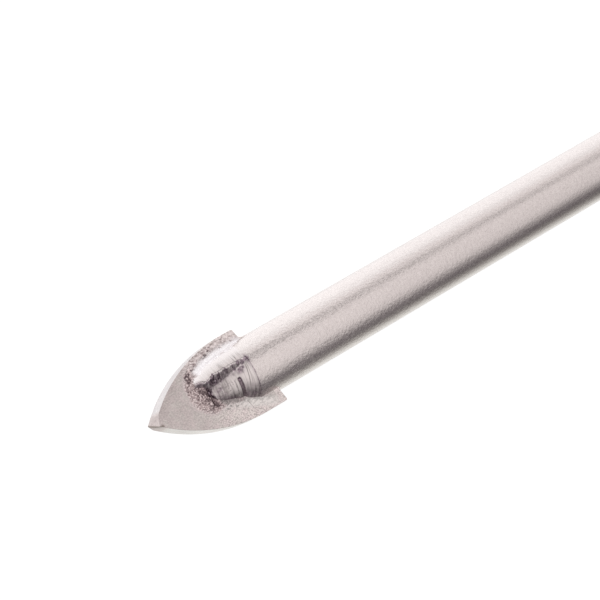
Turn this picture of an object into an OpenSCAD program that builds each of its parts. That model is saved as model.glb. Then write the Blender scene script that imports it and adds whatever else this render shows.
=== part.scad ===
// Spear-point drill bit for glass and tile.
// A round steel shank, forked at its front end, holds a flat carbide blade in
// its slot. The two cheeks of the fork are ground to a tapered nose, and one side
// of each is ground deeper, with a groove across it and a sloping wall beside it.
// A bead of braze runs round the toe of the nose on each face of the blade, and
// on as a low fillet along the foot of the side that keeps its size.
// The bit lies as it comes to rest: on its shank and on one corner of the blade.
// Length runs along X, with the point toward -X and the plain end toward +X.

/* [Bit] */
// Overall length, from the chisel edge to the plain end
total_len = 80; // [60:1:120]
// Diameter of the shank
shank_d = 5.75; // [5.5:0.05:6]
// Length of the chamfer on the plain end
end_chamfer = 0.5; // [0.2:0.1:1]

/* [Blade] */
// Width across the blade, which is the size of the drilled hole
blade_w = 8; // [7.8:0.1:8.4]
// Thickness of the blade
blade_t = 2; // [1.8:0.1:2.2]
// Length of the blade, from the meeting point of its two arcs to its heel
blade_len = 12; // [11.5:0.1:13]
// Length of the curved part of the cutting edges
arc_len = 9.8; // [9:0.1:10.5]
// Relief angle behind each cutting edge, in degrees
relief = 6; // [4:0.5:9]
// Distance that the heel of each wing leans forward through the thickness
heel_lean = 1; // [0.4:0.1:1.4]
// Set-back of the chisel edge from the meeting point of the arcs
chisel_back = 0.4; // [0.35:0.05:0.5]
// Angle of the chisel edge across the thickness, in degrees
chisel_turn = 21.3; // [15:0.1:25]
// Angle of the two small facets that form the chisel edge, in degrees
facet_angle = 28; // [20:1:32]

/* [Nose] */
// Where the toe of the cheeks starts, from the meeting point of the arcs
toe_x = 4.85; // [4.75:0.05:5]
// Radius of the nose behind the toe
toe_r = 2.03; // [1.95:0.02:2.09]
// Where the deeper-ground side of the cheeks starts
low_x = 5.9; // [5.7:0.1:6.1]
// Radius of the deeper-ground side behind its toe
low_r = 1.46; // [1.4:0.02:1.56]
// Where the groove across the deeper-ground side lies
groove_x = 8.44; // [8.2:0.02:8.6]
// Where the grinding of the cheeks runs out on the shank
ground_x = 9.8; // [9.4:0.1:10.4]

/* [Braze] */
// Radius of the bead on the face of the blade
bead_r = 2.1; // [1.8:0.1:2.2]
// Height of the bead above the face of the blade
bead_h = 0.45; // [0.3:0.05:0.5]
// Width of the fillet along the foot of the nose
fillet_w = 0.4; // [0.3:0.05:0.5]

/* [Hidden] */
$fn = 96;

shank_r = shank_d / 2;
half_t = blade_t / 2;
// Radius of the arcs: they start on the axis and end parallel to it
arc_r = (arc_len * arc_len + blade_w * blade_w / 4) / blade_w;
arc_y = arc_r - blade_w / 2;
// Loss of width through the thickness, from the relief
inset = blade_t * tan(relief);
end_x = chisel_back + total_len;
mid_x = chisel_back + total_len / 2;
// Roll about the axis at which the lower near corner of the blade meets the
// surface that the shank lies on: a*sin(roll) + b*cos(roll) = shank_r
corner_a = blade_w / 2 - inset;
corner_b = half_t;
roll = asin(shank_r / sqrt(corner_a * corner_a + corner_b * corner_b)) - atan2(corner_b, corner_a);
// How far the shank is dressed below its own size where the ground nose starts
dressed = 0.05;
bead_x = 6.2;
bead_y = 0.4;
bead_ball = (bead_r * bead_r + bead_h * bead_h) / (2 * bead_h);
// Outer edge of the fillet on the face of the blade
fillet_y = sqrt((shank_r - dressed) * (shank_r - dressed) - half_t * half_t) + fillet_w;
// The wings start just outside the shank
wing_y = sqrt(shank_r * shank_r - half_t * half_t) + 0.02;

// From the blade's own axes to the resting pose
module at_rest() {
    translate([-mid_x, 0, shank_r]) rotate([roll, 0, 0]) children();
}

// A profile of radius and length, turned about the axis
module turned(profile) {
    rotate([0, 90, 0]) rotate([0, 0, 97 - roll]) rotate_extrude(convexity = 4, $fn = 180) polygon(profile);
}

// What is ground off one side of the upper cheek, beside a sloping wall
module ground_side() {
    difference() {
        intersection() {
            translate([low_x - 0.4, 0, 0]) rotate([45, 0, 0]) translate([0, 0, 0.96]) rotate([0, -5.3, 0])
                translate([-1, -6, 0]) cube([7, 12, 6]);
            translate([0, -8, 0.5]) cube([16, 16, 8]);
        }
        turned([[0, low_x], [low_r - 0.16, low_x], [low_r, low_x + 0.22], [low_r + 0.66, groove_x],
                [low_r + 0.60, groove_x + 0.05], [low_r + 0.60, groove_x + 0.18], [low_r + 0.82, groove_x + 0.26],
                [shank_r - dressed - 0.07, ground_x], [shank_r + 4, ground_x + 0.04], [shank_r + 4, end_x], [0, end_x]]);
    }
}

// The round body with its ground nose, before the slot is cut
module turned_body() {
    difference() {
        turned([[0, toe_x], [1.2, toe_x], [toe_r - 0.31, toe_x + 0.15], [toe_r, toe_x + 0.35],
                [toe_r + 0.37, toe_x + 1.15], [toe_r + 0.55, toe_x + 1.75], [toe_r + 0.72, toe_x + 2.65],
                [shank_r - dressed, ground_x], [shank_r, blade_len + 0.4],
                [shank_r, end_x - end_chamfer], [shank_r - end_chamfer, end_x], [0, end_x]]);
        ground_side();
        rotate([180, 0, 0]) ground_side();
    }
}

// One side of the curved part of the blade: a cone whose slope is the relief
module edge_cone() {
    translate([arc_len, arc_y, -half_t]) cylinder(h = blade_t, r1 = arc_r - inset, r2 = arc_r, $fn = 200);
}

// The blade before its point and heels are ground
module plate() {
    intersection() {
        translate([0, -blade_w, -half_t]) cube([arc_len, 2 * blade_w, blade_t]);
        edge_cone();
        rotate([180, 0, 0]) edge_cone();
    }
    translate([arc_len, 0, 0]) rotate([90, 0, 90]) linear_extrude(height = blade_len - arc_len)
        polygon([[-blade_w / 2 + inset, -half_t], [blade_w / 2, -half_t],
                 [blade_w / 2 - inset, half_t], [-blade_w / 2, half_t]]);
}

// The two facets that meet in the chisel edge
module point_roof() {
    translate([chisel_back, 0, 0]) rotate([chisel_turn, 0, 0])
        translate([0, 0, -6]) linear_extrude(height = 12)
            polygon([[0, 0], [8 * tan(facet_angle), 8], [40, 8], [40, -8], [8 * tan(facet_angle), -8]]);
}

// What is ground off the heel of one wing
module heel_cut() {
    rotate([90, 0, 0]) translate([0, 0, wing_y]) linear_extrude(height = blade_w)
        polygon([[blade_len, half_t], [blade_len - heel_lean, -half_t],
                 [blade_len - heel_lean, -2 * half_t], [blade_len + 1, -2 * half_t], [blade_len + 1, half_t]]);
}

// The low fillet that goes on from the bead, along the side that keeps its size
module fillet() {
    intersection() {
        turned([[0, toe_x + 0.4], [toe_r + 0.06, toe_x + 0.4], [toe_r + 0.37 + fillet_w / 2, toe_x + 1.15],
                [toe_r + 0.72 + fillet_w, toe_x + 2.65], [shank_r - dressed + fillet_w, ground_x],
                [shank_r - dressed + fillet_w, blade_len - heel_lean - 0.3], [0, blade_len - heel_lean - 0.3]]);
        translate([0, fillet_y, half_t]) rotate([-37, 0, 0]) translate([0, -4, -4]) cube([blade_len, 8, 4]);
        translate([0, 1.5, half_t]) cube([blade_len, blade_w, 0.45]);
    }
}

// One bead of braze, on the upper face of the blade
module bead() {
    difference() {
        union() {
            intersection() {
                translate([bead_x, bead_y, half_t + bead_h - bead_ball]) sphere(r = bead_ball, $fn = 400);
                translate([0, -blade_w, half_t]) cube([2 * blade_w, 2 * blade_w, 2]);
            }
            fillet();
        }
        turned_body();
    }
}

module shank() {
    color([0.80, 0.77, 0.76]) at_rest() difference() {
        turned_body();
        translate([0, -blade_w, -half_t]) cube([blade_len, 2 * blade_w, blade_t]);
    }
}

module carbide_tip() {
    color([0.67, 0.62, 0.62]) at_rest() difference() {
        intersection() {
            plate();
            point_roof();
        }
        heel_cut();
        rotate([180, 0, 0]) heel_cut();
    }
}

module braze() {
    color([0.36, 0.29, 0.28]) at_rest() {
        bead();
        rotate([180, 0, 0]) bead();
    }
}

shank();
carbide_tip();
braze();
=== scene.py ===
import math

import bpy
import numpy as np
from mathutils import Matrix, Vector


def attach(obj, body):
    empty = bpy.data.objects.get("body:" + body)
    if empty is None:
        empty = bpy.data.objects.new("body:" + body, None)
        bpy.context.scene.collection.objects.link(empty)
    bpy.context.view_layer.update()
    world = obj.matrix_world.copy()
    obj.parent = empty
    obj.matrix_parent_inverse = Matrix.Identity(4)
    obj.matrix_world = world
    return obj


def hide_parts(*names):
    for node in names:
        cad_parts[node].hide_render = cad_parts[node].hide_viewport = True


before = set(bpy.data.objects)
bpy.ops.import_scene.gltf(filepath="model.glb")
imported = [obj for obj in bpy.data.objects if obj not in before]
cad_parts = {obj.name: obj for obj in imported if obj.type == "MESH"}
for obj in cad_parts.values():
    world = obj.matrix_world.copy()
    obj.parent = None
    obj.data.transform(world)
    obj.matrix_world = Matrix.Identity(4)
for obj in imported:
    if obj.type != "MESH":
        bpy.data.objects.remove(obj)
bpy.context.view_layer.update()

# ---------------------------------------------------------------- dimensions, in mm
# x runs along the axis from the point, b across the blade toward the low side, n out of the blade's upper face
BLADE_W, HALF_T, BLADE_LEN, ARC_LEN = 8.0, 1.0, 12.0, 9.8
ARC_R = (ARC_LEN ** 2 + BLADE_W ** 2 / 4) / BLADE_W
ARC_Y = ARC_R - BLADE_W / 2
INSET = 2 * HALF_T * math.tan(math.radians(6))
SHANK_R, CHISEL_BACK, END_X = 2.875, 0.4, 80.4
MID_X = CHISEL_BACK + 40.0
TURN, FACET = math.radians(21.3), math.tan(math.radians(28))
# the chisel edge is ground by hand, so it leans a little and lies a little off the axis
CHISEL_OFF = 0.12
WING_B = math.sqrt(SHANK_R ** 2 - HALF_T ** 2) + 0.02
CORNER = BLADE_W / 2 - INSET
ROLL = math.asin(SHANK_R / math.hypot(CORNER, HALF_T)) - math.atan2(HALF_T, CORNER)


def to_world(p):
    """From the blade's own axes in mm to the frame's in metres."""
    p = np.asarray(p, float)
    x, b, n = p[:, 0], p[:, 1], p[:, 2]
    c, s = math.cos(ROLL), math.sin(ROLL)
    return np.stack([x - MID_X, -b * c - n * s, SHANK_R - b * s + n * c], 1) * 1e-3


# ---------------------------------------------------------------- repeatable noise
TABLES = {}


def table(seed):
    if seed not in TABLES:
        TABLES[seed] = np.random.default_rng(seed).random((128, 128, 4))
    return TABLES[seed]


def value_noise(u, v, seed):
    """Smooth noise from -1 to 1 over a plane."""
    t = table(seed)[:, :, 0] * 2 - 1
    iu, iv = np.floor(u).astype(int), np.floor(v).astype(int)
    fu, fv = u - iu, v - iv
    fu, fv = fu * fu * fu * (fu * (fu * 6 - 15) + 10), fv * fv * fv * (fv * (fv * 6 - 15) + 10)
    a, b = t[iu % 128, iv % 128], t[(iu + 1) % 128, iv % 128]
    c, d = t[iu % 128, (iv + 1) % 128], t[(iu + 1) % 128, (iv + 1) % 128]
    return (a * (1 - fu) + b * fu) * (1 - fv) + (c * (1 - fu) + d * fu) * fv


def fbm(u, v, seed, octaves=3, gain=0.5):
    u, v = np.broadcast_arrays(np.asarray(u, float), np.asarray(v, float))
    total, amp, size = 0.0, 1.0, 0.0
    for k in range(octaves):
        total = total + amp * value_noise(u * 2 ** k + 17.3 * k, v * 2 ** k + 5.1 * k, seed + k)
        size += amp
        amp *= gain
    return total / size


def drops(u, v, seed, lo, hi):
    """Round drops, one in each unit cell: height from 0 to 1 and the drop's own random number."""
    t = table(seed)
    iu, iv = np.floor(u).astype(int), np.floor(v).astype(int)
    best, own = np.zeros(u.shape), np.zeros(u.shape)
    for i in (-1, 0, 1):
        for j in (-1, 0, 1):
            k = t[(iu + i) % 128, (iv + j) % 128]
            radius = lo + (hi - lo) * k[..., 2]
            d = np.hypot(u - iu - i - 0.15 - 0.7 * k[..., 0], v - iv - j - 0.15 - 0.7 * k[..., 1]) / radius
            h = np.clip(1 - d * d, 0, None)
            own = np.where(h > best, k[..., 3], own)
            best = np.maximum(best, h)
    return best, own


def step(a, b, x):
    t = np.clip((x - a) / (b - a), 0, 1)
    return t * t * (3 - 2 * t)


def soft_max(a, b, w):
    return 0.5 * (a + b + np.sqrt((a - b) ** 2 + w * w))


def soft_min(a, b, w):
    return -soft_max(-a, -b, w)


# ---------------------------------------------------------------- meshes
def make_object(name, verts, faces, sharp_deg, values=None, flat=0):
    mesh = bpy.data.meshes.new(name)
    mesh.from_pydata([tuple(v) for v in to_world(verts)], [], faces)
    smooth = [True] * len(mesh.polygons)
    # the last faces are plane
    smooth[len(smooth) - flat:] = [False] * flat
    mesh.polygons.foreach_set("use_smooth", smooth)
    mesh.set_sharp_from_angle(angle=math.radians(sharp_deg))
    for key, value in (values or {}).items():
        mesh.attributes.new(key, "FLOAT", "POINT").data.foreach_set("value", np.asarray(value, np.float32))
    mesh.update()
    obj = bpy.data.objects.new(name, mesh)
    bpy.context.scene.collection.objects.link(obj)
    return obj


# radius of the cheek where it keeps its size, and on the side that is ground deeper
FAR_X = np.array([5.2, 5.4, 6.0, 6.6, 7.5, 8.2, 9.0, 9.9, 12.4, 90])
FAR_R = np.array([2.08, 2.18, 2.40, 2.58, 2.75, 2.81, 2.835, 2.852, 2.875, 2.875])
LOW_X = np.array([5.9, 6.12, 6.8, 7.7, 8.34, 8.80, 9.2, 9.78, 9.85, 9.90, 9.97, 12.4, 90])
LOW_R = np.array([1.40, 1.46, 1.66, 1.95, 2.14, 2.29, 2.50, 2.735, 2.745, 2.80, 2.853, 2.875, 2.875])
CUT_X = np.array([8.0, 8.37, 8.45, 8.49, 8.65, 8.73, 8.80, 9.5])
CUT_D = np.array([0.0, 0.0, 0.05, 0.125, 0.135, 0.06, 0.0, 0.0])
WALL_X = np.array([5.2, 5.7, 6.3, 6.9, 7.75, 8.6, 9.9])
WALL_K = np.array([1.52, 1.44, 1.42, 1.50, 1.68, 1.80, 1.92])


def nose(x, phi, seed):
    """Radius of the ground nose at x, with phi the angle from the crown of the cheek toward the low side, its dark
    staining with painted shade at the foot of the low side, and its streaks.
    """
    deg = np.degrees(phi)
    ground = 1 - step(9.75, 10.0, x)
    wave = 0.012 * fbm(x * 2.2, deg * 0.045, seed + 3, 3) + 0.005 * fbm(x * 6.5, deg * 0.10, seed + 7, 2)
    far = np.interp(x, FAR_X, FAR_R) + ground * wave
    low = np.interp(x, LOW_X, LOW_R) + ground * wave
    # the cut across the low side
    reach = step(4, 13, deg)
    lean = x - 0.0006 * (deg - 30) + 0.02 * fbm(deg * 0.08, 0 * x + 2.5, seed + 61, 2)
    cut = np.interp(lean, CUT_X, CUT_D) / 0.135 * reach
    low = low - 0.135 * cut
    lip = np.exp(-((lean - 8.36) / 0.06) ** 2) * step(-8, 2, deg) * (1 - step(20, 34, deg))
    low = low + 0.03 * lip
    # marks that run round the low side
    rng = np.random.default_rng(seed)
    lines = 0.0
    for k in range(26):
        x0, mid, half = rng.uniform(6.2, 8.35), rng.uniform(5, 60), rng.uniform(12, 34)
        deep, wide, slant = rng.uniform(0.002, 0.007), rng.uniform(0.03, 0.06), rng.uniform(-0.0016, 0.0008)
        one = np.exp(-((x - x0 - slant * (deg - mid)) / wide) ** 2) * (1 - step(0.5, 1, np.abs(deg - mid) / half))
        low = low - deep * one
        lines = lines + one * rng.uniform(0.05, 0.5)
    fine = 0.0
    for x0, deep, wide, lo, hi, slant in ((8.93, 0.010, 0.03, 14, 70, -0.002), (9.10, 0.012, 0.03, -4, 40, -0.004), (9.47, 0.030, 0.034, -10, 34, -0.0085),
                                          (9.62, 0.022, 0.03, -14, 30, -0.006), (9.66, 0.014, 0.03, 16, 70, -0.003), (9.80, 0.012, 0.028, -16, 60, 0.0)):
        one = np.exp(-((x - x0 - slant * deg) / wide) ** 2) * step(lo - 7, lo + 7, deg) * (1 - step(hi - 8, hi + 8, deg))
        low = low - deep * one
        fine = fine + one * deep / 0.03
    # scratches across the high side, close to the wall
    comb = fbm(x * 8.5, deg * 0.03, seed + 21, 2)
    near_wall = np.exp(-((deg + 27) / 9.0) ** 2) * step(5.6, 6.2, x)
    far = far + 0.012 * ground * near_wall * comb
    # the sloping wall between them
    teeth = fbm(x * 6.5, deg * 0.03 + 7.5, seed + 35, 2)
    k = np.interp(x, WALL_X, WALL_K) + 0.07 * fbm(x * 2.1, deg * 0.02 + 1.5, seed + 31, 2) + 0.09 * teeth * step(-10, -20, deg) + 0.05 * fbm(x * 6.2, deg * 0.12, seed + 37, 2)
    slope = np.sin(phi) + np.cos(phi)
    wall = np.where(slope > 0.1, k / np.maximum(slope, 0.1), 20.0)
    tall = np.maximum(far - low, 1e-3)
    r = soft_min(far, soft_max(low, wall, 0.08), 0.07 * step(5.6, 6.6, x) * ground + 0.04)
    r = r + 0.012 * ground * step(5.6, 6.6, x) * (tall < 0.1)
    level = (wall - low) / tall
    part = np.clip(level, 0, 1)
    mask = step(0.0, 0.20, part) * (1 - step(0.72, 1.0, part)) * step(0.03, 0.16, tall) * ground
    # rough lumps on the wall
    lump, own = drops(x * 5.2, deg * 0.17, seed + 41, 0.30, 0.55)
    r = r + 0.04 * mask * (lump - 0.3)
    # the toe reaches further forward on the high side
    toe = np.interp(deg, [-75, -37, -20, -8, 0, 16, 45, 62], [4.80, 4.84, 5.30, 5.68, 5.88, 5.80, 6.04, 6.16]) + 0.06 * fbm(deg * 0.07, 0 * x + 3.1, seed + 1, 2)
    length = np.interp(deg, [-40, -15, 0], [0.52, 0.42, 0.28])
    t = np.clip((x - toe) / length, 0, 1)
    rise = np.sqrt(np.clip(1 - (1 - t) ** 2, 0, 1))
    bottom = HALF_T + 0.004
    out = bottom + (r - bottom) * rise
    # dark places
    blot = fbm(x * 3.1, deg * 0.085, seed + 51, 3)
    ragged = np.clip(1.5 * fbm(x * 7.5, deg * 0.035, seed + 53, 2) + 0.04, 0, 0.8)
    dark = step(-0.35, 0.12, level) * (1 - step(0.82, 1.12, level - 0.85 * ragged)) * step(0.03, 0.14, tall) * ground
    ribs = 0.0
    for x0, d0 in ((6.23, -19), (6.62, -13), (7.03, -14.5), (7.80, -16), (8.45, -17)):
        ribs = np.maximum(ribs, np.exp(-((x - x0 - 0.010 * (deg - d0) + 0.05 * fbm(deg * 0.11, x * 2.0, seed + 59, 2)) / 0.17) ** 2 - ((deg - d0) / 12.0) ** 2))
    stain_and_shade = dark * np.clip(0.62 - 0.40 * step(6.5, 7.3, x) + 0.60 * ribs + 0.60 * blot - 0.70 * lump * (own > 0.40), 0.06, 1)
    # a haze below the wall
    haze = np.exp(-np.clip(low - wall, 0, None) / 0.26) * step(0.03, 0.16, tall) * (level < 0.3) * ground
    stain_and_shade = np.maximum(stain_and_shade, 0.50 * haze * np.clip(0.75 + 0.9 * fbm(x * 4.2, deg * 0.10, seed + 57, 3), 0, 1))
    for x0, d0, size in ((9.04, -17.0, 0.22), (9.42, -14.5, 0.23), (9.72, -16.4, 0.19), (9.99, -15.5, 0.20), (9.90, -12.0, 0.11), (8.62, -11.5, 0.17), (8.95, -8.0, 0.15), (9.26, -6.5, 0.16)):
        spot = np.hypot(x - x0, 2.75 * np.radians(deg - d0)) / size + 0.35 * fbm(x * 7, deg * 0.3, seed + 71, 2)
        stain_and_shade = np.maximum(stain_and_shade, 0.85 * (1 - step(0.6, 1.25, spot)))
    # and one along the top of the edge
    edge = np.exp(-((x - 9.93 + 0.06 * fbm(deg * 0.15, x * 2.0, seed + 73, 2)) / 0.15) ** 2 - ((deg + 15.5) / 8.0) ** 2)
    stain_and_shade = np.maximum(stain_and_shade, 1.05 * edge * np.clip(0.95 + 0.8 * blot, 0.5, 1))
    brown = np.exp(-((x - 8.95) / 0.40) ** 2 - ((deg + 5) / 9.0) ** 2)
    brown = np.maximum(brown, 0.8 * np.exp(-((x - 8.32) / 0.26) ** 2 - ((deg + 8) / 7.0) ** 2))
    stain_and_shade = np.maximum(stain_and_shade, 0.78 * brown * np.clip(0.8 + 0.8 * blot, 0, 1.2))
    stain_and_shade = np.maximum(stain_and_shade, 0.70 * (1 - step(6.6, 7.5, x)) * step(6.0, 6.3, x) * step(0, 10, deg) * np.clip(0.7 + 1.2 * blot, 0, 1))
    spot, pick = drops(x * 3.6, deg * 0.11, seed + 91, 0.22, 0.42)
    front = (0.74 + 0.16 * step(-18, -4, deg)) * (1 - step(0.35, 1.0, t)) * step(-44, -30, deg) * (1 - 0.8 * spot ** 0.7 * (pick > 0.2) * (1 - step(-12, 2, deg)))
    stain_and_shade = np.maximum(stain_and_shade, front)
    dot, pick = drops(x * 4.4, deg * 0.15, seed + 101, 0.14, 0.27)
    stain_and_shade = np.maximum(stain_and_shade, 0.72 * dot * (pick > 0.42) * step(2, 10, deg) * (1 - part) * step(6.1, 6.4, x) * (1 - step(8.2, 8.35, x)))
    # painted shade along the foot of the low side, where the steel comes down to the blade, mottled toward the rear
    foot = 1 - step(0.04, 0.60 - 0.16 * step(7.6, 8.2, x) + 1.20 * step(8.6, 9.0, x), r * np.cos(phi) - HALF_T + 0.22 * fbm(x * 4.3, deg * 0.06, seed + 95, 3))
    mottle = 1 + 1.1 * step(8.6, 9.0, x) * fbm(x * 6.5, deg * 0.20, seed + 96, 2)
    stain_and_shade = np.maximum(stain_and_shade, (0.64 - 0.15 * step(8.6, 9.0, x)) * mottle * foot * step(6.2, 6.8, x) * step(10, 20, deg) * (1 - step(9.95, 10.5, x)))
    # painted shadow under the low side of the shank beside the wing, mottled
    stain_and_shade = np.maximum(stain_and_shade, 0.26 * mottle * step(9.9, 10.2, x) * (1 - step(10.6, 11.9, x)) * step(44, 60, deg))
    stain_and_shade = np.maximum(stain_and_shade, (0.80 + 0.42 * step(-5, 35, deg)) * step(0.10, 0.5, cut))
    rim = np.exp(-((x - 9.93 - 0.03 * fbm(deg * 0.06, 0 * x + 4.5, seed + 97, 2)) / 0.05) ** 2) * step(-16, -8, deg) * (1 - step(56, 68, deg))
    stain_and_shade = np.maximum(stain_and_shade, rim * np.clip(0.62 + 0.5 * fbm(deg * 0.15, x * 0.2, seed + 99, 2), 0.3, 0.85))
    streak = np.clip(lines + 0.55 * fbm(x * 8.0, deg * 0.035, seed + 81, 3) * step(5.9, 6.6, x) * (1 - step(8.3, 8.5, x)), 0, 1) * (1 - part) + np.clip(fine, 0, 1) * 1.0
    streak = streak + np.clip(2.2 * comb - 0.15, 0, 1) * near_wall * 0.46 * part * ground * step(5.9, 6.8, x)
    # dull patches in the pocket, fewer in its middle
    patch = np.clip(2.4 * fbm(x * 4.6, deg * 0.15, seed + 103, 3) + 0.05, 0, 1) * (1 - part) * step(6.2, 6.6, x) * (1 - step(8.2, 8.35, x)) * step(2, 9, deg)
    streak = streak * (1 - 0.35 * np.exp(-((x - 7.4) / 0.35) ** 2 - ((deg - 35) / 8.0) ** 2)) + 0.50 * patch * (1 - 0.7 * np.exp(-((deg - 35) / 9.0) ** 2))
    # ends of the grinding marks above the wall
    streak = streak + 0.55 * np.clip(3.0 * fbm(x * 8.5, deg * 0.02, seed + 83, 2) + 0.1, 0, 1) * np.exp(-((x - 9.15) / 0.45) ** 2 - ((deg + 30) / 8.0) ** 2)
    return out, stain_and_shade, np.clip(streak, 0, 1) * ground


def build_shank():
    cols, side = 140, 20
    u = np.linspace(-1, 1, cols + 1)
    flat = HALF_T - 0.004
    xs = np.concatenate([np.arange(4.86, 10.1, 0.031), np.linspace(10.15, BLADE_LEN, 14)])
    verts, faces, stains_and_shade, streaks = [], [], [], []

    def add(x, b, n, stain_and_shade=0.0, streak=0.0):
        first = len(verts)
        x, b, n, stain_and_shade, streak = np.broadcast_arrays(np.asarray(x, float), b, n, stain_and_shade, streak)
        verts.extend(np.stack([x, b, n], 1).tolist())
        stains_and_shade.extend(stain_and_shade.tolist())
        streaks.extend(streak.tolist())
        return first

    rows = {}
    for cheek, flip in ((0, 1), (1, -1)):
        seed = 1041 + 500 * cheek
        # each row ends on the flat of the slot
        ends = []
        for way in (-1, 1):
            end = np.full_like(xs, 0.8)
            for _ in range(24):
                r = nose(xs, way * end, seed)[0]
                end = 0.5 * end + 0.5 * np.arccos(np.clip(flat / np.maximum(r, flat + 1e-4), -1, 1))
            ends.append(np.maximum(end, 0.02))
        phi = np.where(u[None, :] < 0, u[None, :] * ends[0][:, None], u[None, :] * ends[1][:, None])
        X = np.repeat(xs[:, None], cols + 1, 1)
        r, stain_and_shade, streak = nose(X, phi, seed)
        B, N = r * np.sin(phi), np.maximum(r * np.cos(phi), flat)
        grid = [add(X[i], flip * B[i], flip * N[i], stain_and_shade[i], streak[i]) for i in range(len(xs))]
        rows[cheek] = grid
        for i in range(len(grid) - 1):
            p, q = grid[i], grid[i + 1]
            faces.extend((p + j, p + j + 1, q + j + 1, q + j) for j in range(cols))
            faces.append((p, q, q + cols, p + cols))
        faces.append(tuple(range(grid[0], grid[0] + cols + 1)))

    # the round shank behind the slot
    r12 = np.interp(BLADE_LEN, FAR_X, FAR_R)
    m = math.acos(flat / r12)
    ang = np.concatenate([u * m, m + (math.pi - 2 * m) * np.arange(1, side) / side, math.pi + u * m,
                          math.pi + m + (math.pi - 2 * m) * np.arange(1, side) / side])
    count = len(ang)
    first = [rows[0][-1] + j for j in range(cols + 1)]
    a1 = add(BLADE_LEN, r12 * np.sin(ang[cols + 1:cols + side]), r12 * np.cos(ang[cols + 1:cols + side]))
    a2 = add(BLADE_LEN, r12 * np.sin(ang[-(side - 1):]), r12 * np.cos(ang[-(side - 1):]))
    one = list(range(a1, a1 + side - 1))
    two = list(range(a2, a2 + side - 1))
    second = [rows[1][-1] + j for j in range(cols + 1)]
    ring = first + one + second + two
    faces.append(tuple([first[-1]] + one + [second[0], second[-1]] + two + [first[0]])[::-1])
    radial = [(12.2, 2.8725), (12.5, SHANK_R)] + [(x, SHANK_R) for x in np.linspace(13.5, 79.0, 67)]
    radial += [(79.5, SHANK_R), (79.82, SHANK_R - 0.004), (79.93, SHANK_R - 0.045), (80.28, 2.49), (80.36, 2.40), (80.395, 2.30), (80.4, 2.15)]
    radial += [(80.4 - 0.004 * (k % 2), 2.15 - 0.17 * (k + 1)) for k in range(11)] + [(80.37, 0.12)]
    for x, r in radial:
        wob = 1.0 if r < 2.5 else 1 + 0.0006 * fbm(ang * 1.9, np.full_like(ang, x * 0.21), 5, 2)
        rr = np.minimum(r * wob, SHANK_R)
        s = add(x, rr * np.sin(ang), rr * np.cos(ang))
        new = list(range(s, s + count))
        faces.extend((ring[j], ring[(j + 1) % count], new[(j + 1) % count], new[j]) for j in range(count))
        ring = new
    tip = add(np.array([80.365]), np.array([0.0]), np.array([0.0]))
    faces.extend((ring[j], ring[(j + 1) % count], tip) for j in range(count))
    faces = [f[::-1] for f in faces]
    return make_object("steel_shank", verts, faces, 50, {"stain_and_shade": stains_and_shade, "streak": streaks})


def solve(f, lo, hi):
    for _ in range(60):
        mid = (lo + hi) / 2
        if (f(lo) > 0) == (f(mid) > 0):
            lo = mid
        else:
            hi = mid
    return (lo + hi) / 2


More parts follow.
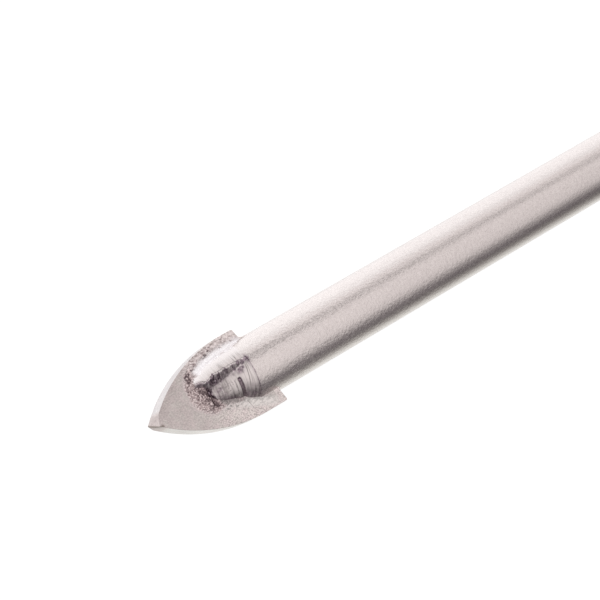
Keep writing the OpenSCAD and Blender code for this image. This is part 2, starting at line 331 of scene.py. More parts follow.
def blade_outline(n):
    """Outline of the blade at height n, as points (x, b) in a fixed count."""
    rn, rf = ARC_R - INSET * (1 - n) / 2, ARC_R - INSET * (1 + n) / 2
    s, c = math.sin(TURN), math.cos(TURN)
    tip_x = 0.335 + 0.045 * n
    near_x = lambda b: ARC_LEN - math.sqrt(max(rn * rn - (b + ARC_Y) ** 2, 0))
    far_x = lambda b: ARC_LEN - math.sqrt(max(rf * rf - (ARC_Y - b) ** 2, 0))
    crest = n * s / c + CHISEL_OFF
    near_f = lambda b: tip_x + FACET * ((b - CHISEL_OFF) * c - n * s)
    far_f = lambda b: tip_x + FACET * (n * s - (b - CHISEL_OFF) * c)
    if near_x(crest) >= tip_x:
        bc = bn = solve(lambda b: near_x(b) - far_f(b), -1.5, crest)
        bf = solve(lambda b: far_x(b) - far_f(b), -2.0, bc)
    elif far_x(crest) >= tip_x:
        bc = bf = solve(lambda b: far_x(b) - near_f(b), crest, 1.5)
        bn = solve(lambda b: near_x(b) - near_f(b), bc, 2.0)
    else:
        bc = crest
        bn = solve(lambda b: near_x(b) - near_f(b), crest, 2.0)
        bf = solve(lambda b: far_x(b) - far_f(b), -2.0, crest)
    pts = []
    bm = rn - ARC_Y
    a0 = math.acos((bn + ARC_Y) / rn)
    if bn - bc > 1e-6:
        for b in np.linspace(bc, bn, 7)[:-1]:
            pts.append((max(near_f(b), far_f(b)), b))
        arc = np.linspace(a0, 0, 72)
    else:
        arc = np.linspace(a0, 0, 78)
    for a in arc:
        pts.append((ARC_LEN - rn * math.sin(a), rn * math.cos(a) - ARC_Y))
    heel, rad = 11.5 + 0.46 * n, 0.17
    for x in np.linspace(ARC_LEN, heel - rad, 9)[1:]:
        pts.append((x, bm))
    for a in np.linspace(0, math.pi / 2, 8)[1:]:
        pts.append((heel - rad + rad * math.sin(a), bm - rad + rad * math.cos(a)))
    for t in np.linspace(0, 1, 7)[1:]:
        pts.append((heel - 0.13 * t, bm - rad + (WING_B + 0.2 - bm + rad) * t))
    for t in np.linspace(0, 1, 6)[1:]:
        a = t * math.pi / 2
        pts.append((heel - 0.13 + (0.5 - 0.46 * n + 0.13) * (1 - math.cos(a)), WING_B + 0.2 - 0.2 * math.sin(a)))
    pts.append((BLADE_LEN, WING_B - 0.1))
    pts.append((BLADE_LEN, -WING_B + 0.1))
    heel = 11.5 - 0.46 * n
    bm = rf - ARC_Y
    for t in np.linspace(1, 0, 6)[:-1]:
        a = t * math.pi / 2
        pts.append((heel + 0.1 + (0.5 + 0.46 * n - 0.1) * (1 - math.cos(a)), -WING_B - 0.32 + 0.32 * math.sin(a)))
    for t in np.linspace(1, 0, 7):
        pts.append((heel + 0.1 * t, -(bm - rad) + (bm - rad - WING_B - 0.32) * t))
    for a in np.linspace(math.pi / 2, 0, 8)[1:]:
        pts.append((heel - rad + rad * math.sin(a), -(bm - rad + rad * math.cos(a))))
    for x in np.linspace(heel - rad, ARC_LEN, 9)[1:]:
        pts.append((x, -bm))
    a0 = math.acos((ARC_Y - bf) / rf)
    if bc - bf > 1e-6:
        arc = np.linspace(0, a0, 72)[1:]
    else:
        arc = np.linspace(0, a0, 78)[1:-1]
    for a in arc:
        pts.append((ARC_LEN - rf * math.sin(a), ARC_Y - rf * math.cos(a)))
    if bc - bf > 1e-6:
        for b in np.linspace(bf, bc, 7)[1:-1]:
            pts.append((max(near_f(b), far_f(b)), b))
    return np.array(pts)


def inward(pts, d):
    """The outline moved inward by d."""
    if d == 0:
        return pts
    nxt, prv = np.roll(pts, -1, 0) - pts, pts - np.roll(pts, 1, 0)
    norm = lambda v: v / np.maximum(np.linalg.norm(v, axis=1, keepdims=True), 1e-9)
    nxt, prv = norm(nxt), norm(prv)
    side = lambda v: np.stack([-v[:, 1], v[:, 0]], 1)
    area = 0.5 * np.sum(pts[:, 0] * np.roll(pts[:, 1], -1) - pts[:, 1] * np.roll(pts[:, 0], -1))
    k = norm(side(nxt) + side(prv)) * (1 if area > 0 else -1)
    return pts + k * d


def build_blade():
    levels = [(-1.0, 0.026), (-0.992, 0.010), (-0.975, 0.0)]
    levels += [(n, 0.0) for n in np.linspace(-0.9, 0.9, 13)]
    levels += [(0.975, 0.0), (0.992, 0.010), (1.0, 0.026)]
    verts, faces, rings = [], [], []
    for n, d in levels:
        p = inward(blade_outline(n), d)
        rings.append(range(len(verts), len(verts) + len(p)))
        verts.extend((x, b, n) for x, b in p)
    k = len(rings[0])
    for lo, hi in zip(rings, rings[1:]):
        faces.extend((lo[j], lo[(j + 1) % k], hi[(j + 1) % k], hi[j]) for j in range(k))
    faces.append(tuple(rings[-1]))
    faces.append(tuple(rings[0])[::-1])
    return make_object("carbide_blade", verts, faces, 24, flat=2)


RIM = np.array([(11.1, -2.62), (10.9, -2.95), (10.3, -3.15), (9.6, -3.28), (9.1, -3.4), (8.3, -3.38), (7.3, -3.24), (6.5, -3.08), (5.8, -2.95), (5.3, -2.76),
                (4.88, -2.40), (4.52, -1.9), (4.28, -1.2), (4.14, -0.5), (4.08, 0.2), (4.16, 0.66), (4.52, 1.12), (4.96, 1.5),
                (5.42, 1.8), (5.88, 1.95), (6.28, 1.9), (6.62, 1.76), (7.1, 1.84), (7.7, 2.02), (8.4, 2.22), (8.5, 1.6), (8.2, 0.0), (9.2, -2.0), (10.8, -2.4)])


def rim_distance(x, b):
    """Distance inside the rim of the bead, negative outside it."""
    best = np.full(x.shape, 1e9)
    inside = np.zeros(x.shape, bool)
    for (x0, b0), (x1, b1) in zip(RIM, np.roll(RIM, -1, 0)):
        dx, db = x1 - x0, b1 - b0
        t = np.clip(((x - x0) * dx + (b - b0) * db) / (dx * dx + db * db), 0, 1)
        best = np.minimum(best, np.hypot(x - x0 - t * dx, b - b0 - t * db))
        cross = ((b0 > b) != (b1 > b)) & (x < (x1 - x0) * (b - b0) / (b1 - b0 + 1e-12) + x0)
        inside ^= cross
    return np.where(inside, best, -best)


def bead(x, b, seed):
    """Height of the braze above the blade's face, how light it is, and how much of the blade shows through it."""
    d = rim_distance(x, b) + 0.10 * fbm(x * 2.3, b * 2.3, seed, 2) + 0.09 * fbm(x * 6, b * 6, seed + 3, 2)
    # it stays on the face of the blade
    edge = np.sqrt((ARC_R - INSET) ** 2 - np.clip(ARC_LEN - x, 0, None) ** 2) - ARC_Y
    d = np.minimum(d, edge - np.abs(b) - 0.26)
    # a hollow fillet along the foot of the high side, thin and mostly bare
    big = np.interp(x, FAR_X, FAR_R)
    base = -np.sqrt(big ** 2 - 1)
    strip = step(5.15, 5.9, x) * step(-0.8, -0.55, base - b) * (b < -1.2)
    rho = 0.95 * step(5.0, 6.0, x) * (1 - 0.45 * step(9.4, 10.8, x)) + 0.02
    mid = -np.sqrt((big + rho) ** 2 - (1 + rho) ** 2)
    meet = mid * big / (big + rho)
    arc = rho - np.sqrt(np.clip(rho ** 2 - np.clip(b - mid, 0, 0.98 * rho) ** 2, 0, None))
    under = np.sqrt(np.clip(big ** 2 - b ** 2, 1, None)) - 1
    fillet = np.where(b < meet, arc, np.minimum(arc, under) - 0.04 * step(-0.02, 0.40, b - meet)) * (b < -1.2)
    fillet = np.maximum(fillet, 0) * (1 - step(10.6, 11.1, x))
    top = 0.10 + 0.32 * np.exp(-(((x - 5.35) / 0.8) ** 2 + ((b - 0.1) / 1.25) ** 2)) + 0.10 * np.exp(-((x - 4.85) / 0.4) ** 2 - ((b + 1.6) / 0.75) ** 2)
    top = np.where(x > 6.2, np.minimum(top, 0.14), top)
    inner = 1 - np.exp(-np.clip(d, 0, None) / 0.24)
    fleck = 0.8 * fbm(x * 2.6, b * 3.0, seed + 23, 2) + 0.55 * fbm(x * 7, b * 7, seed + 27, 1)
    fleck = step(0.04, 0.36, fleck + 0.16 * step(7.4, 6.2, x) - 0.16 * step(8.8, 10.4, x)) * step(0.08, 0.34, base - b)
    cover = step(-0.12, 0.16, d + 0.20 * fbm(x * 7, b * 7, seed + 19, 2))
    cover = cover * (1 - strip * (1 - 0.85 * fleck))
    cover = cover * (1 - 0.44 * step(6.3, 6.9, x) * step(0.6, 1.2, b))
    h1, own1 = drops(x * 3.4, b * 3.4, seed + 5, 0.22, 0.42)
    h2, own2 = drops(x * 5.6, b * 5.6, seed + 9, 0.24, 0.50)
    fine = fbm(x * 9.5, b * 9.5, seed + 8, 2)
    amp = np.clip((d + 0.05) / 0.22, 0, 1) * np.clip(cover + 0.15, 0, 1)
    top = top + 0.30 * np.exp(-((x - 5.55) / 0.42) ** 2 - ((b + 0.60) / 0.48) ** 2)
    h = top * inner * (0.7 + 0.5 * (0.5 + 0.5 * fbm(x * 2.4, b * 2.4, seed + 15, 2))) * (1 - 0.85 * strip)
    h = h + fillet + amp * (0.070 * h1 + 0.035 * h2 + 0.015 * fine - 0.02)
    # a bare hollow between the toe of the nose and the bead, on the low side
    hollow = np.exp(-((x - 5.82 - 0.16 * (b - 0.3)) / 0.2) ** 2) * step(-0.45, 0.05, b) * (1 - step(1.2, 1.6, b))
    h = h - 0.24 * hollow
    light = 0.27 + 0.62 * np.clip(h1 * 1.5, 0, 1) * (own1 > 0.15) * (0.45 + 0.55 * own1) + 0.52 * h2 * (own2 > 0.30) + 0.30 * fine + 0.20 * fbm(x * 1.6, b * 1.6, seed + 33, 2) + (0.48 * fbm(x * 4.6, b * 4.6, seed + 39, 2) + 0.01) * step(-0.9, -1.8, b) + 0.10 * step(-0.9, -0.3, b)
    light = light + 0.03 - 0.30 * np.exp(-((x - 5.32) / 0.40) ** 2 - ((b + 0.35) / 0.80) ** 2)
    # painted shade darkens the hollow
    light = np.clip(light, 0, 1) * (1 - 0.80 * np.clip(hollow * 1.3, 0, 1))
    # painted shade in the corner beside the toe on the low side
    deep = np.exp(-((x - 6.0) / 0.3) ** 2 - ((b - 1.35) / 0.28) ** 2)
    light = light * (1 - 0.6 * deep)
    ear = np.exp(-((x - 5.5) / 0.17) ** 2 - ((b - 1.0) / 0.22) ** 2)
    light = np.clip(light * (1 - 0.75 * np.exp(-((ear - 0.22) / 0.13) ** 2)) + 0.45 * step(0.45, 0.8, ear), 0, 1)
    return np.where(d > -0.2, np.maximum(h, 0.003), -0.03), light, np.clip(1 - cover, 0, 1), strip * (1 - step(0.05, 0.62, base - b + 0.1 * fine))


def build_braze():
    pitch = 0.037
    gx, gb = np.arange(3.8, 11.4, pitch), np.arange(-3.70, 2.4, pitch)
    X, B = np.meshgrid(gx, gb, indexing="ij")
    verts, faces, lights, bares, strips = [], [], [], [], []
    for seed, flip in ((2110, 1), (3170, -1)):
        H, light, bare, strip = bead(X, B, seed)
        # cells that lie wholly below the steel are left out
        far, low = np.interp(X, FAR_X, FAR_R), np.interp(X, LOW_X, LOW_R)
        hidden = ((B < -0.75) & (B ** 2 + (HALF_T + 0.55) ** 2 < (far - 0.1) ** 2) & (X > 5.8)) | ((B > -0.75) & (B ** 2 + (HALF_T + 0.3) ** 2 < (low - 0.1) ** 2) & (X > 6.5))
        keep = (H > -0.02) & ~hidden
        cells = keep[:-1, :-1] | keep[1:, :-1] | keep[:-1, 1:] | keep[1:, 1:]
        for _ in range(3):
            core = cells[1:-1, 1:-1]
            around = cells[:-2, 1:-1].astype(int) + cells[2:, 1:-1] + cells[1:-1, :-2] + cells[1:-1, 2:]
            cells[1:-1, 1:-1] = np.where(around >= 3, True, np.where(around <= 1, False, core))
        cells[0, :] = cells[-1, :] = cells[:, 0] = cells[:, -1] = False
        # two cells that touch only at a corner would share an edge line
        for _ in range(4):
            a, b, c, d = cells[:-1, :-1], cells[1:, 1:], cells[1:, :-1], cells[:-1, 1:]
            cross = (a & b & ~c & ~d) | (c & d & ~a & ~b)
            for i, j in np.argwhere(cross):
                cells[i:i + 2, j:j + 2] = True
        index = {}

        def at(i, j, layer):
            key = (i, j, layer)
            if key not in index:
                index[key] = len(verts)
                n = HALF_T + max(H[i, j], -0.03) if layer else HALF_T - 0.06
                verts.append((X[i, j], flip * B[i, j], flip * n))
                lights.append(light[i, j])
                bares.append(bare[i, j])
                strips.append(strip[i, j])
            return index[key]

        for i, j in np.argwhere(cells):
            i, j = int(i), int(j)
            faces.append((at(i, j, 1), at(i + 1, j, 1), at(i + 1, j + 1, 1), at(i, j + 1, 1)))
            faces.append((at(i, j, 0), at(i, j + 1, 0), at(i + 1, j + 1, 0), at(i + 1, j, 0)))
            for di, dj, p, q in ((-1, 0, (i, j + 1), (i, j)), (1, 0, (i + 1, j), (i + 1, j + 1)),
                                 (0, -1, (i, j), (i + 1, j)), (0, 1, (i + 1, j + 1), (i, j + 1))):
                if not cells[i + di, j + dj]:
                    faces.append((at(*p, 0), at(*q, 0), at(*q, 1), at(*p, 1)))
    faces = [f[::-1] for f in faces]
    return make_object("braze_bead", verts, faces, 70, {"light": lights, "bare": bares, "strip": strips})


# ---------------------------------------------------------------- materials
class Tree:
    """A short way to write node trees."""

    def __init__(self, tree):
        self.tree = tree
        tree.nodes.clear()

    def node(self, kind, **settings):
        n = self.tree.nodes.new(kind)
        for k, v in settings.items():
            setattr(n, k, v)
        return n

    def link(self, a, b):
        self.tree.links.new(a, b)

    def feed(self, socket, value):
        if isinstance(value, bpy.types.NodeSocket):
            self.link(value, socket)
        else:
            socket.default_value = value

    def math(self, op, a, b=None, c=None, clamp=False):
        n = self.node("ShaderNodeMath", operation=op, use_clamp=clamp)
        for i, v in enumerate((a, b, c)):
            if v is not None:
                self.feed(n.inputs[i], v)
        return n.outputs[0]

    def add(self, *terms):
        total = terms[0]
        for term in terms[1:]:
            total = self.math("ADD", total, term)
        return total

    def times(self, *terms):
        total = terms[0]
        for term in terms[1:]:
            total = self.math("MULTIPLY", total, term)
        return total

    def span(self, value, a, b, lo=0.0, hi=1.0, kind="SMOOTHSTEP"):
        n = self.node("ShaderNodeMapRange", interpolation_type=kind)
        for i, v in enumerate((value, a, b, lo, hi)):
            self.feed(n.inputs[i], v)
        return n.outputs[0]

    def noise(self, vector, scale, detail=2.0, rough=0.5, lacunarity=2.0, distortion=0.0):
        n = self.node("ShaderNodeTexNoise", noise_dimensions="3D")
        self.feed(n.inputs["Vector"], vector)
        for k, v in (("Scale", scale), ("Detail", detail), ("Roughness", rough), ("Lacunarity", lacunarity), ("Distortion", distortion)):
            n.inputs[k].default_value = v
        return n.outputs[0]

    def value(self, name):
        return self.node("ShaderNodeAttribute", attribute_type="GEOMETRY", attribute_name=name).outputs["Fac"]

    def combine(self, x, y, z):
        n = self.node("ShaderNodeCombineXYZ")
        for i, v in enumerate((x, y, z)):
            self.feed(n.inputs[i], v)
        return n.outputs[0]

    def mix(self, factor, a, b):
        n = self.node("ShaderNodeMix", data_type="RGBA")
        self.feed(n.inputs["Factor"], factor)
        for s, v in ((n.inputs[6], a), (n.inputs[7], b)):
            self.feed(s, v if isinstance(v, bpy.types.NodeSocket) else (*v, 1.0))
        return n.outputs[2]

    def mixf(self, factor, a, b):
        n = self.node("ShaderNodeMix", data_type="FLOAT")
        self.feed(n.inputs["Factor"], factor)
        self.feed(n.inputs[2], a)
        self.feed(n.inputs[3], b)
        return n.outputs[0]

    def bump(self, height, strength, distance, normal=None):
        n = self.node("ShaderNodeBump")
        n.inputs["Strength"].default_value = strength
        n.inputs["Distance"].default_value = distance
        self.feed(n.inputs["Height"], height)
        if normal is not None:
            self.link(normal, n.inputs["Normal"])
        return n.outputs[0]


def start(name):
    m = bpy.data.materials.new(name)
    m.use_nodes = True
    t = Tree(m.node_tree)
    out = t.node("ShaderNodeOutputMaterial")
    bsdf = t.node("ShaderNodeBsdfPrincipled")
    t.link(bsdf.outputs[0], out.inputs[0])
    where = t.node("ShaderNodeTexCoord")
    # the part's own axes, in mm: x along the axis, y across the blade toward the high side, z out of its upper face
    place = t.node("ShaderNodeMapping", vector_type="POINT")
    place.inputs["Scale"].default_value = (1000, 1000, 1000)
    place.inputs["Rotation"].default_value = (-ROLL, 0, 0)
    place.inputs["Location"].default_value = (MID_X, -SHANK_R * math.sin(ROLL), -SHANK_R * math.cos(ROLL))
    t.link(where.outputs["Object"], place.inputs["Vector"])
    split = t.node("ShaderNodeSeparateXYZ")
    t.link(place.outputs[0], split.inputs[0])
    return m, t, bsdf, place.outputs[0], split.outputs


def steel():
    m, t, bsdf, pos, (x, y, z) = start("satin_steel")
    b = t.math("MULTIPLY", y, -1.0)
    phi = t.math("ARCTAN2", b, z)
    bsdf.inputs["Metallic"].default_value = 1.0
    # fine grain of the blasted surface
    grain = t.noise(pos, 6.5, 2.0, 0.6)
    coarse = t.noise(pos, 2.1, 2.0, 0.5)
    tone = t.add(t.span(grain, 0.34, 0.66, 0.0, 0.8, "LINEAR"), t.span(coarse, 0.3, 0.7, 0.0, 0.2, "LINEAR"))
    plain = t.mix(tone, (0.67, 0.63, 0.62), (0.82, 0.78, 0.765))
    speck = t.span(t.noise(pos, 8.5, 1.0, 0.5), 0.60, 0.70, 0.0, 0.22)
    plain = t.mix(speck, plain, (0.34, 0.31, 0.305))
    plain = t.mix(t.span(x, 18.0, 32.0, 0.0, 0.06), plain, (0.30, 0.28, 0.28))
    # the ground nose: bright, with marks that run round it
    edge = t.add(x, t.span(t.noise(pos, 1.3, 2.0), 0.3, 0.7, -0.06, 0.06, "LINEAR"))
    nose_part = t.span(edge, 9.82, 9.98, 1.0, 0.0)
    ring = t.combine(t.math("MULTIPLY", x, 9.0), t.math("MULTIPLY", phi, 1.4), t.math("MULTIPLY", z, 0.05))
    lines = t.noise(ring, 1.0, 3.0, 0.6)
    deep = t.span(phi, -0.30, -0.10)
    bright = t.mix(t.span(lines, 0.34, 0.66), (0.68, 0.645, 0.64), (0.80, 0.765, 0.76))
    bright = t.mix(0.35, bright, plain)
    bright = t.mix(t.span(phi, -0.6, -1.0), bright, t.mix(grain, (0.70, 0.67, 0.675), (0.84, 0.81, 0.815)))
    dull = t.mix(t.span(lines, 0.34, 0.66), (0.46, 0.43, 0.42), (0.74, 0.70, 0.69))
    dull = t.mix(t.span(grain, 0.45, 0.65, 0.0, 0.35), dull, (0.30, 0.28, 0.27))
    dull = t.mix(t.times(t.span(x, 8.75, 9.0), t.span(phi, 0.75, 0.35)), dull, (0.78, 0.74, 0.735))
    dull = t.mix(t.times(t.span(x, 7.2, 7.7), t.span(phi, 0.95, 0.55), 0.72), dull, (0.80, 0.76, 0.75))
    ground = t.mix(deep, bright, dull)
    ground = t.mix(t.times(t.value("streak"), 0.78), ground, (0.15, 0.135, 0.13))
    plain = t.mix(nose_part, plain, ground)
    # heat tint on the wall, in the cut and at the toe, and painted shade along the foot of the low side and under the
    # shank beside the wing
    mark = t.mix(t.span(t.noise(pos, 5.0, 2.0, 0.6), 0.38, 0.64), (0.072, 0.045, 0.072), (0.41, 0.315, 0.38))
    mark = t.mix(t.span(t.value("stain_and_shade"), 0.85, 1.15, 0.0, 0.75), mark, (0.235, 0.20, 0.212))
    t.link(t.mix(t.value("stain_and_shade"), plain, mark), bsdf.inputs["Base Color"])
    t.link(t.mixf(nose_part, t.span(grain, 0.3, 0.7, 0.22, 0.32), t.mixf(deep, t.span(lines, 0.3, 0.7, 0.22, 0.34), t.span(lines, 0.3, 0.7, 0.38, 0.50))), bsdf.inputs["Roughness"])
    pits = t.noise(pos, 3.4, 3.0, 0.62)
    rough = t.bump(t.times(t.mixf(nose_part, pits, t.times(lines, 0.30)), t.span(x, 18.0, 45.0, 1.0, 0.55)), 1.0, 4.2e-5)
    t.link(t.bump(t.noise(pos, 15.0, 2.0), 0.5, 3.0e-6, rough), bsdf.inputs["Normal"])
    return m


def flecks(t, x, y, z, colour):
    """What the brazing left on the blade beside the nose, with painted light and painted shade beside the low side of
    the steel.
    """
    b = t.math("MULTIPLY", y, -1.0)
    top = t.span(z, 0.9, 0.95)
    # lighter beside the low side, painted light against the steel's shade and dark reflection there, with grey flecks
    # in it and a dark line of painted shade at the steel's foot
    slant = t.add(b, t.times(x, -0.40), 1.39)
    along = t.times(t.span(x, 5.6, 6.4), t.span(x, 11.6, 10.6), top)
    painted_light_band = t.times(t.span(slant, -0.10, 0.15), t.span(slant, 1.15, 0.65), along)
    colour = t.mix(t.times(painted_light_band, t.span(x, 7.0, 8.6, 0.28, 0.66)), colour, (0.88, 0.875, 0.85))
    fleck = t.noise(t.combine(t.math("MULTIPLY", x, 2.6), t.math("MULTIPLY", y, 5.0), 3.0), 1.0, 3.0, 0.65)
    fleck = t.add(fleck, t.span(slant, 0.55, 0.10, 0.0, 0.10))
    colour = t.mix(t.times(t.span(fleck, 0.49, 0.61), painted_light_band, t.span(x, 7.0, 8.4, 1.0, 0.32)), colour, (0.26, 0.255, 0.245))
    # painted shade: a dark line along the steel's foot
    colour = t.mix(t.times(t.span(t.add(slant, t.span(fleck, 0.3, 0.7, 0.12, -0.12, "LINEAR")), 0.26, 0.04), along, t.span(b, 0.4, 0.8), t.span(x, 7.6, 8.6, 0.75, 0.30)), colour, (0.20, 0.195, 0.19))
    # brown flecks along the wing on the high side
    wing = t.times(t.span(t.add(b, t.times(x, 0.05)), -2.0, -2.5), t.span(x, 4.6, 5.6), t.span(x, 11.6, 10.8), top)
    dots = t.noise(t.combine(t.math("MULTIPLY", x, 3.4), t.math("MULTIPLY", y, 4.4), 7.0), 1.0, 2.0, 0.6)
    colour = t.mix(t.times(t.span(dots, 0.54, 0.66), wing, t.span(x, 7.5, 10.0, 0.64, 0.42)), colour, (0.23, 0.175, 0.17))
    return t.mix(t.times(t.span(dots, 0.53, 0.40), wing, 0.75), colour, (0.92, 0.86, 0.855))


def carbide():
    m, t, bsdf, pos, (x, y, z) = start("ground_carbide")
    bsdf.inputs["Metallic"].default_value = 1.0
    b = t.math("MULTIPLY", y, -1.0)
    grain = t.noise(pos, 7.0, 2.0, 0.6)
    cloud = t.noise(pos, 0.9, 3.0, 0.5)
    drift = t.noise(t.combine(t.math("MULTIPLY", x, 1.6), t.math("MULTIPLY", y, 9.0), z), 1.0, 3.0, 0.6)
    # the blade gets lighter toward its rear and a little toward the low side, darker in front and lighter behind along
    # the high wing's edge, with painted light on the high wing by its heel; its front shows the coarser grain less
    rear = t.add(t.span(x, 3.5, 8.5, 0.0, 0.26), t.span(b, -2.2, 2.6, -0.05, 0.05, "LINEAR"), t.times(t.span(b, -3.2, -2.2, 0.17, 0.0), t.span(x, 8.6, 10.2)), t.times(t.span(b, -3.2, -2.4, -0.14, 0.0), t.span(x, 9.6, 10.4, 1.0, 0.0)),
                 t.times(t.span(b, -3.35, -2.9, 0.0, 0.45), t.span(b, 0.0, 0.1, 1.0, 0.0), t.span(x, 10.0, 11.1)))
    amount = t.span(x, 3.5, 7.5, 0.36, 0.95)
    tone = t.add(t.times(t.span(grain, 0.34, 0.66, -0.5, 0.5, "LINEAR"), amount), t.span(cloud, 0.3, 0.7, -0.09, 0.09, "LINEAR"),
                 t.span(drift, 0.3, 0.7, -0.06, 0.06, "LINEAR"), rear, 0.46,
                 t.times(t.span(t.noise(pos, 2.0, 2.0, 0.5), 0.35, 0.65, -0.13, 0.13, "LINEAR"), t.span(x, 5.0, 7.5)))
    side = t.span(z, 0.93, 0.985, 1.0, 0.0)
    # painted light on the flanks: the low flank lighter toward its rear, all flanks lighter past x 0.75 to 1.05, and
    # painted shade on the facets at the point
    tone = t.add(tone, t.times(side, t.span(b, 0.0, 0.5), t.span(x, 2.4, 4.2, 0.0, 0.30)), t.times(side, t.span(x, 0.75, 1.05, -0.10, 0.18)))
    colour = t.mix(t.math("MINIMUM", t.math("MAXIMUM", tone, 0.0), 1.0), (0.33, 0.30, 0.295), (0.86, 0.79, 0.775))
    green = t.span(t.noise(pos, 1.7, 2.0), 0.45, 0.62)
    colour = t.mix(t.times(green, 0.5), colour, t.mix(tone, (0.315, 0.305, 0.29), (0.83, 0.81, 0.77)))
    # painted reflection on the flanks behind the point, bluish on the high flank and yellowish green on the low one
    painted_flank_reflection = t.mix(t.span(b, -0.3, 0.3), t.mix(tone, (0.52, 0.515, 0.53), (0.85, 0.84, 0.855)), t.mix(tone, (0.52, 0.52, 0.505), (0.90, 0.895, 0.88)))
    colour = t.mix(t.times(side, t.span(x, 0.9, 1.3), 0.62), colour, painted_flank_reflection)
    colour = t.mix(t.times(side, t.span(x, 1.1, 0.8), 0.6), colour, t.mix(tone, (0.45, 0.39, 0.38), (0.84, 0.745, 0.725)))
    speck = t.times(t.span(t.noise(pos, 9.0, 1.0), 0.60, 0.70), t.span(x, 3.5, 7.0, 0.16, 0.62))
    colour = t.mix(speck, colour, (0.30, 0.26, 0.26))
    colour = flecks(t, x, y, z, colour)
    # painted shade along the chisel edge
    c, s = math.cos(TURN), math.sin(TURN)
    off = t.add(t.times(t.add(b, -CHISEL_OFF), c), t.times(z, -s))
    chisel_shade = t.times(t.span(t.math("ABSOLUTE", t.add(off, -0.02)), 0.07, 0.15, 1.0, 0.0), t.span(x, 0.7, 0.9, 1.0, 0.0))
    colour = t.mix(t.times(chisel_shade, 0.75), colour, (0.20, 0.165, 0.14))
    # one long scratch on the low wing
    line = t.add(t.times(t.add(x, -8.62), 0.985), t.times(t.add(b, -2.1), -0.17))
    scratch = t.times(t.span(t.math("ABSOLUTE", line), 0.012, 0.045, 1.0, 0.0), t.span(b, 2.1, 2.25), t.span(b, 3.1, 3.3, 1.0, 0.0), t.span(z, 0.9, 0.95))
    colour = t.mix(t.times(scratch, 0.55), colour, (0.24, 0.21, 0.21))
    t.link(colour, bsdf.inputs["Base Color"])
    t.link(t.span(grain, 0.3, 0.7, 0.34, 0.46), bsdf.inputs["Roughness"])
    rough = t.bump(grain, 1.0, 6.0e-6)
    t.link(t.bump(drift, 0.6, 4.0e-6, rough), bsdf.inputs["Normal"])
    return m


def brazing():
    m, t, bsdf, pos, (x, y, z) = start("stained_braze")
    bsdf.inputs["Metallic"].default_value = 0.9
    fine = t.noise(pos, 9.0, 2.0, 0.6)
    light = t.add(t.value("light"), t.span(fine, 0.3, 0.7, -0.18, 0.18, "LINEAR"))
    ramp = t.node("ShaderNodeValToRGB")
    t.link(light, ramp.inputs[0])
    stops = ramp.color_ramp.elements
    stops[0].position, stops[0].color = 0.0, (0.10, 0.074, 0.08, 1)
    stops[1].position, stops[1].color = 1.0, (0.86, 0.78, 0.77, 1)
    for p, colour in ((0.30, (0.335, 0.268, 0.272, 1)), (0.60, (0.60, 0.51, 0.505, 1))):
        stops.new(p).color = colour
    # where the film is thin, the blade or the steel shows through it
    clean = t.mix(t.span(fine, 0.36, 0.64), (0.50, 0.455, 0.45), (0.74, 0.68, 0.67))
    # where the fillet strip on the high side is bare, its metal is near white and bluish: a painted highlight that also
    # offsets the shade in its crease
    bare_strip_highlight = t.mix(t.span(fine, 0.36, 0.64), (0.80, 0.785, 0.80), (0.98, 0.965, 0.98))
    clean = t.mix(t.value("strip"), flecks(t, x, y, z, clean), bare_strip_highlight)
    # painted shade on the braze along the foot of the low side, where the steel meets the blade
    b = t.math("MULTIPLY", y, -1.0)
    slant = t.add(b, t.times(x, -0.40), t.span(fine, 0.3, 0.7, 1.24, 1.54, "LINEAR"))
    crease_shade = t.times(t.span(slant, 0.45, 0.12), t.span(x, 6.2, 6.5), t.span(x, 8.2, 7.7), t.span(b, 0.6, 0.9), t.span(z, 0.9, 0.95), 0.55)
    t.link(t.mix(crease_shade, t.mix(t.value("bare"), ramp.outputs[0], clean), (0.27, 0.265, 0.26)), bsdf.inputs["Base Color"])
    t.link(t.mixf(t.value("strip"), t.span(fine, 0.3, 0.7, 0.28, 0.46), 0.45), bsdf.inputs["Roughness"])
    t.link(t.bump(fine, 1.0, 8.0e-6), bsdf.inputs["Normal"])
    return m


def floor_material():
    m = bpy.data.materials.new("pale_floor")
    m.use_nodes = True
    t = Tree(m.node_tree)
    out = t.node("ShaderNodeOutputMaterial")
    bsdf = t.node("ShaderNodeBsdfPrincipled")
    t.link(bsdf.outputs[0], out.inputs[0])
    where = t.node("ShaderNodeTexCoord")
    fine = t.noise(where.outputs["Object"], 60.0, 2.0)
    t.link(t.mix(fine, (0.13, 0.13, 0.13), (0.15, 0.15, 0.15)), bsdf.inputs["Base Color"])
    bsdf.inputs["Roughness"].default_value = 1.0
    bsdf.inputs["Specular IOR Level"].default_value = 0.0
    bsdf.inputs["Emission Color"].default_value = (1, 1, 1, 1)
    bsdf.inputs["Emission Strength"].default_value = 0.95
    return m


# ---------------------------------------------------------------- the part
for obj, node, slot, material in ((build_shank(), "shank", "shank_steel", steel()),
                                  (build_blade(), "carbide_tip", "carbide", carbide()),
                                  (build_braze(), "braze", "braze_alloy", brazing())):
    obj.data.materials.append(material)
    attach(obj, "root")
    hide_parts(node)

# ---------------------------------------------------------------- floor
side = np.linspace(-1.5, 1.5, 7)
floor_mesh = bpy.data.meshes.new("floor")
floor_mesh.from_pydata([(float(u), float(v), 0.0) for u in side for v in side], [],
                       [(7 * i + j, 7 * (i + 1) + j, 7 * (i + 1) + j + 1, 7 * i + j + 1) for i in range(6) for j in range(6)])
floor_mesh.update()
floor = bpy.data.objects.new("floor", floor_mesh)
bpy.context.scene.collection.objects.link(floor)
floor.data.materials.append(floor_material())
floor.visible_glossy = False

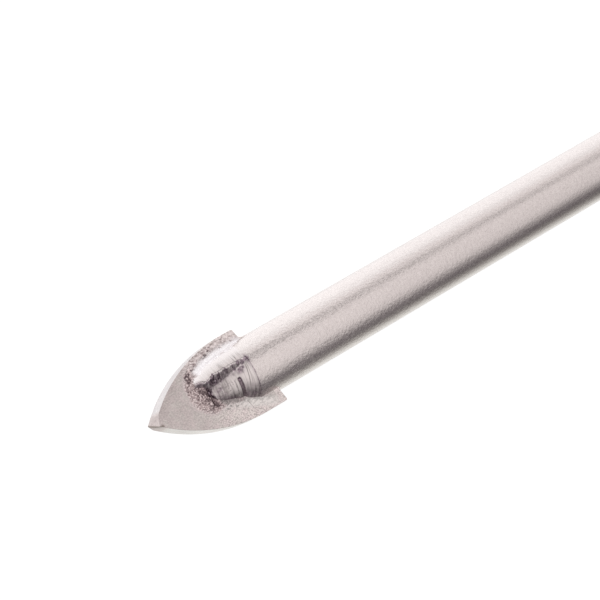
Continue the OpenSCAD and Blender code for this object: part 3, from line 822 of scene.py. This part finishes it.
# ---------------------------------------------------------------- studio: soft boxes as a surround that depends on direction only
world = bpy.data.worlds.new("studio")
bpy.context.scene.world = world
world.use_nodes = True
t = Tree(world.node_tree)
out = t.node("ShaderNodeOutputWorld")
back = t.node("ShaderNodeBackground")
t.link(back.outputs[0], out.inputs[0])
where = t.node("ShaderNodeTexCoord")
split = t.node("ShaderNodeSeparateXYZ")
t.link(where.outputs["Generated"], split.inputs[0])
dx, dy, dz = split.outputs
turn = t.math("ARCTAN2", t.math("MULTIPLY", dy, -1.0), dz)
place = t.span(turn, -math.pi, math.pi, 0.0, 1.0, kind="LINEAR")
ramp = t.node("ShaderNodeValToRGB")
ramp.color_ramp.interpolation = "EASE"
t.link(place, ramp.inputs[0])
# angle about the part's axis from straight up toward the camera's side, light from there, and how warm it is
PINK, SOFT, GREEN, PLUM, DUSK = (1.0, 0.94, 0.932), (1.0, 0.98, 0.98), (1.0, 1.0, 0.955), (1.0, 0.895, 0.945), (1.0, 0.95, 0.905)
LIGHT = [(-180, 1.05, GREEN), (-150, 0.97, SOFT), (-136, 0.92, SOFT), (-121, 1.06, SOFT), (-104, 1.30, SOFT), (-56, 1.30, SOFT), (-38, 1.11, SOFT), (-22, 1.01, PINK), (-11, 0.96, PINK), (13, 0.96, PINK),
         (24, 1.0, PINK), (44, 1.0, PINK), (70, 0.95, PINK), (84, 0.82, PINK), (99, 0.44, PINK), (113, 0.22, PLUM), (127, 0.17, PLUM), (140, 0.25, DUSK),
         (152, 0.53, DUSK), (168, 0.86, GREEN), (180, 1.03, GREEN)]
TOP = 1.5
stops = ramp.color_ramp.elements
while len(stops) > 1:
    stops.remove(stops[-1])
for k, (deg, level, tint) in enumerate(LIGHT):
    e = stops[0] if k == 0 else stops.new((deg + 180) / 360)
    e.position = (deg + 180) / 360
    e.color = (level * tint[0] / TOP, level * tint[1] / TOP, level * tint[2] / TOP, 1)
# a dark gap between the boxes overhead, which closes toward the far end
gap = t.times(t.span(t.math("ABSOLUTE", t.add(turn, -math.radians(1.0))), math.radians(3.0), math.radians(13.0), 1.0, 0.0), t.span(dx, 0.15, 0.85, 0.95, 0.0, "LINEAR"),
              t.span(dz, 0.0, 0.2))
far = t.times(t.span(turn, math.radians(8.0), math.radians(40.0)), t.span(dx, 0.45, 0.75, 0.0, 0.27, "LINEAR"))
t.link(t.mix(far, t.mix(gap, ramp.outputs[0], (0.02, 0.02, 0.02)), (0.0, 0.0, 0.0)), back.inputs["Color"])
back.inputs["Strength"].default_value = TOP

# ---------------------------------------------------------------- camera
AZ, EL, DIST = math.radians(-39.7778), math.radians(43.3319), 0.1949252
aim = Vector((-0.020459, 0.004028, 0.002875))
behind = Vector((math.sin(AZ) * math.cos(EL), -math.cos(AZ) * math.cos(EL), math.sin(EL)))
right = Vector((math.cos(AZ), math.sin(AZ), 0))
up = behind.cross(right)
cam_data = bpy.data.cameras.new("camera")
cam_data.sensor_width = 36.0
cam_data.lens = 36.0 * 2157.904 / 600
cam_data.clip_start, cam_data.clip_end = 0.005, 20.0
cam = bpy.data.objects.new("camera", cam_data)
bpy.context.scene.collection.objects.link(cam)
turned = Matrix((right, up, behind)).transposed().to_4x4()
cam.matrix_world = Matrix.Translation(aim + behind * DIST) @ turned
bpy.context.scene.camera = cam
bpy.context.scene.view_settings.view_transform = "Standard"
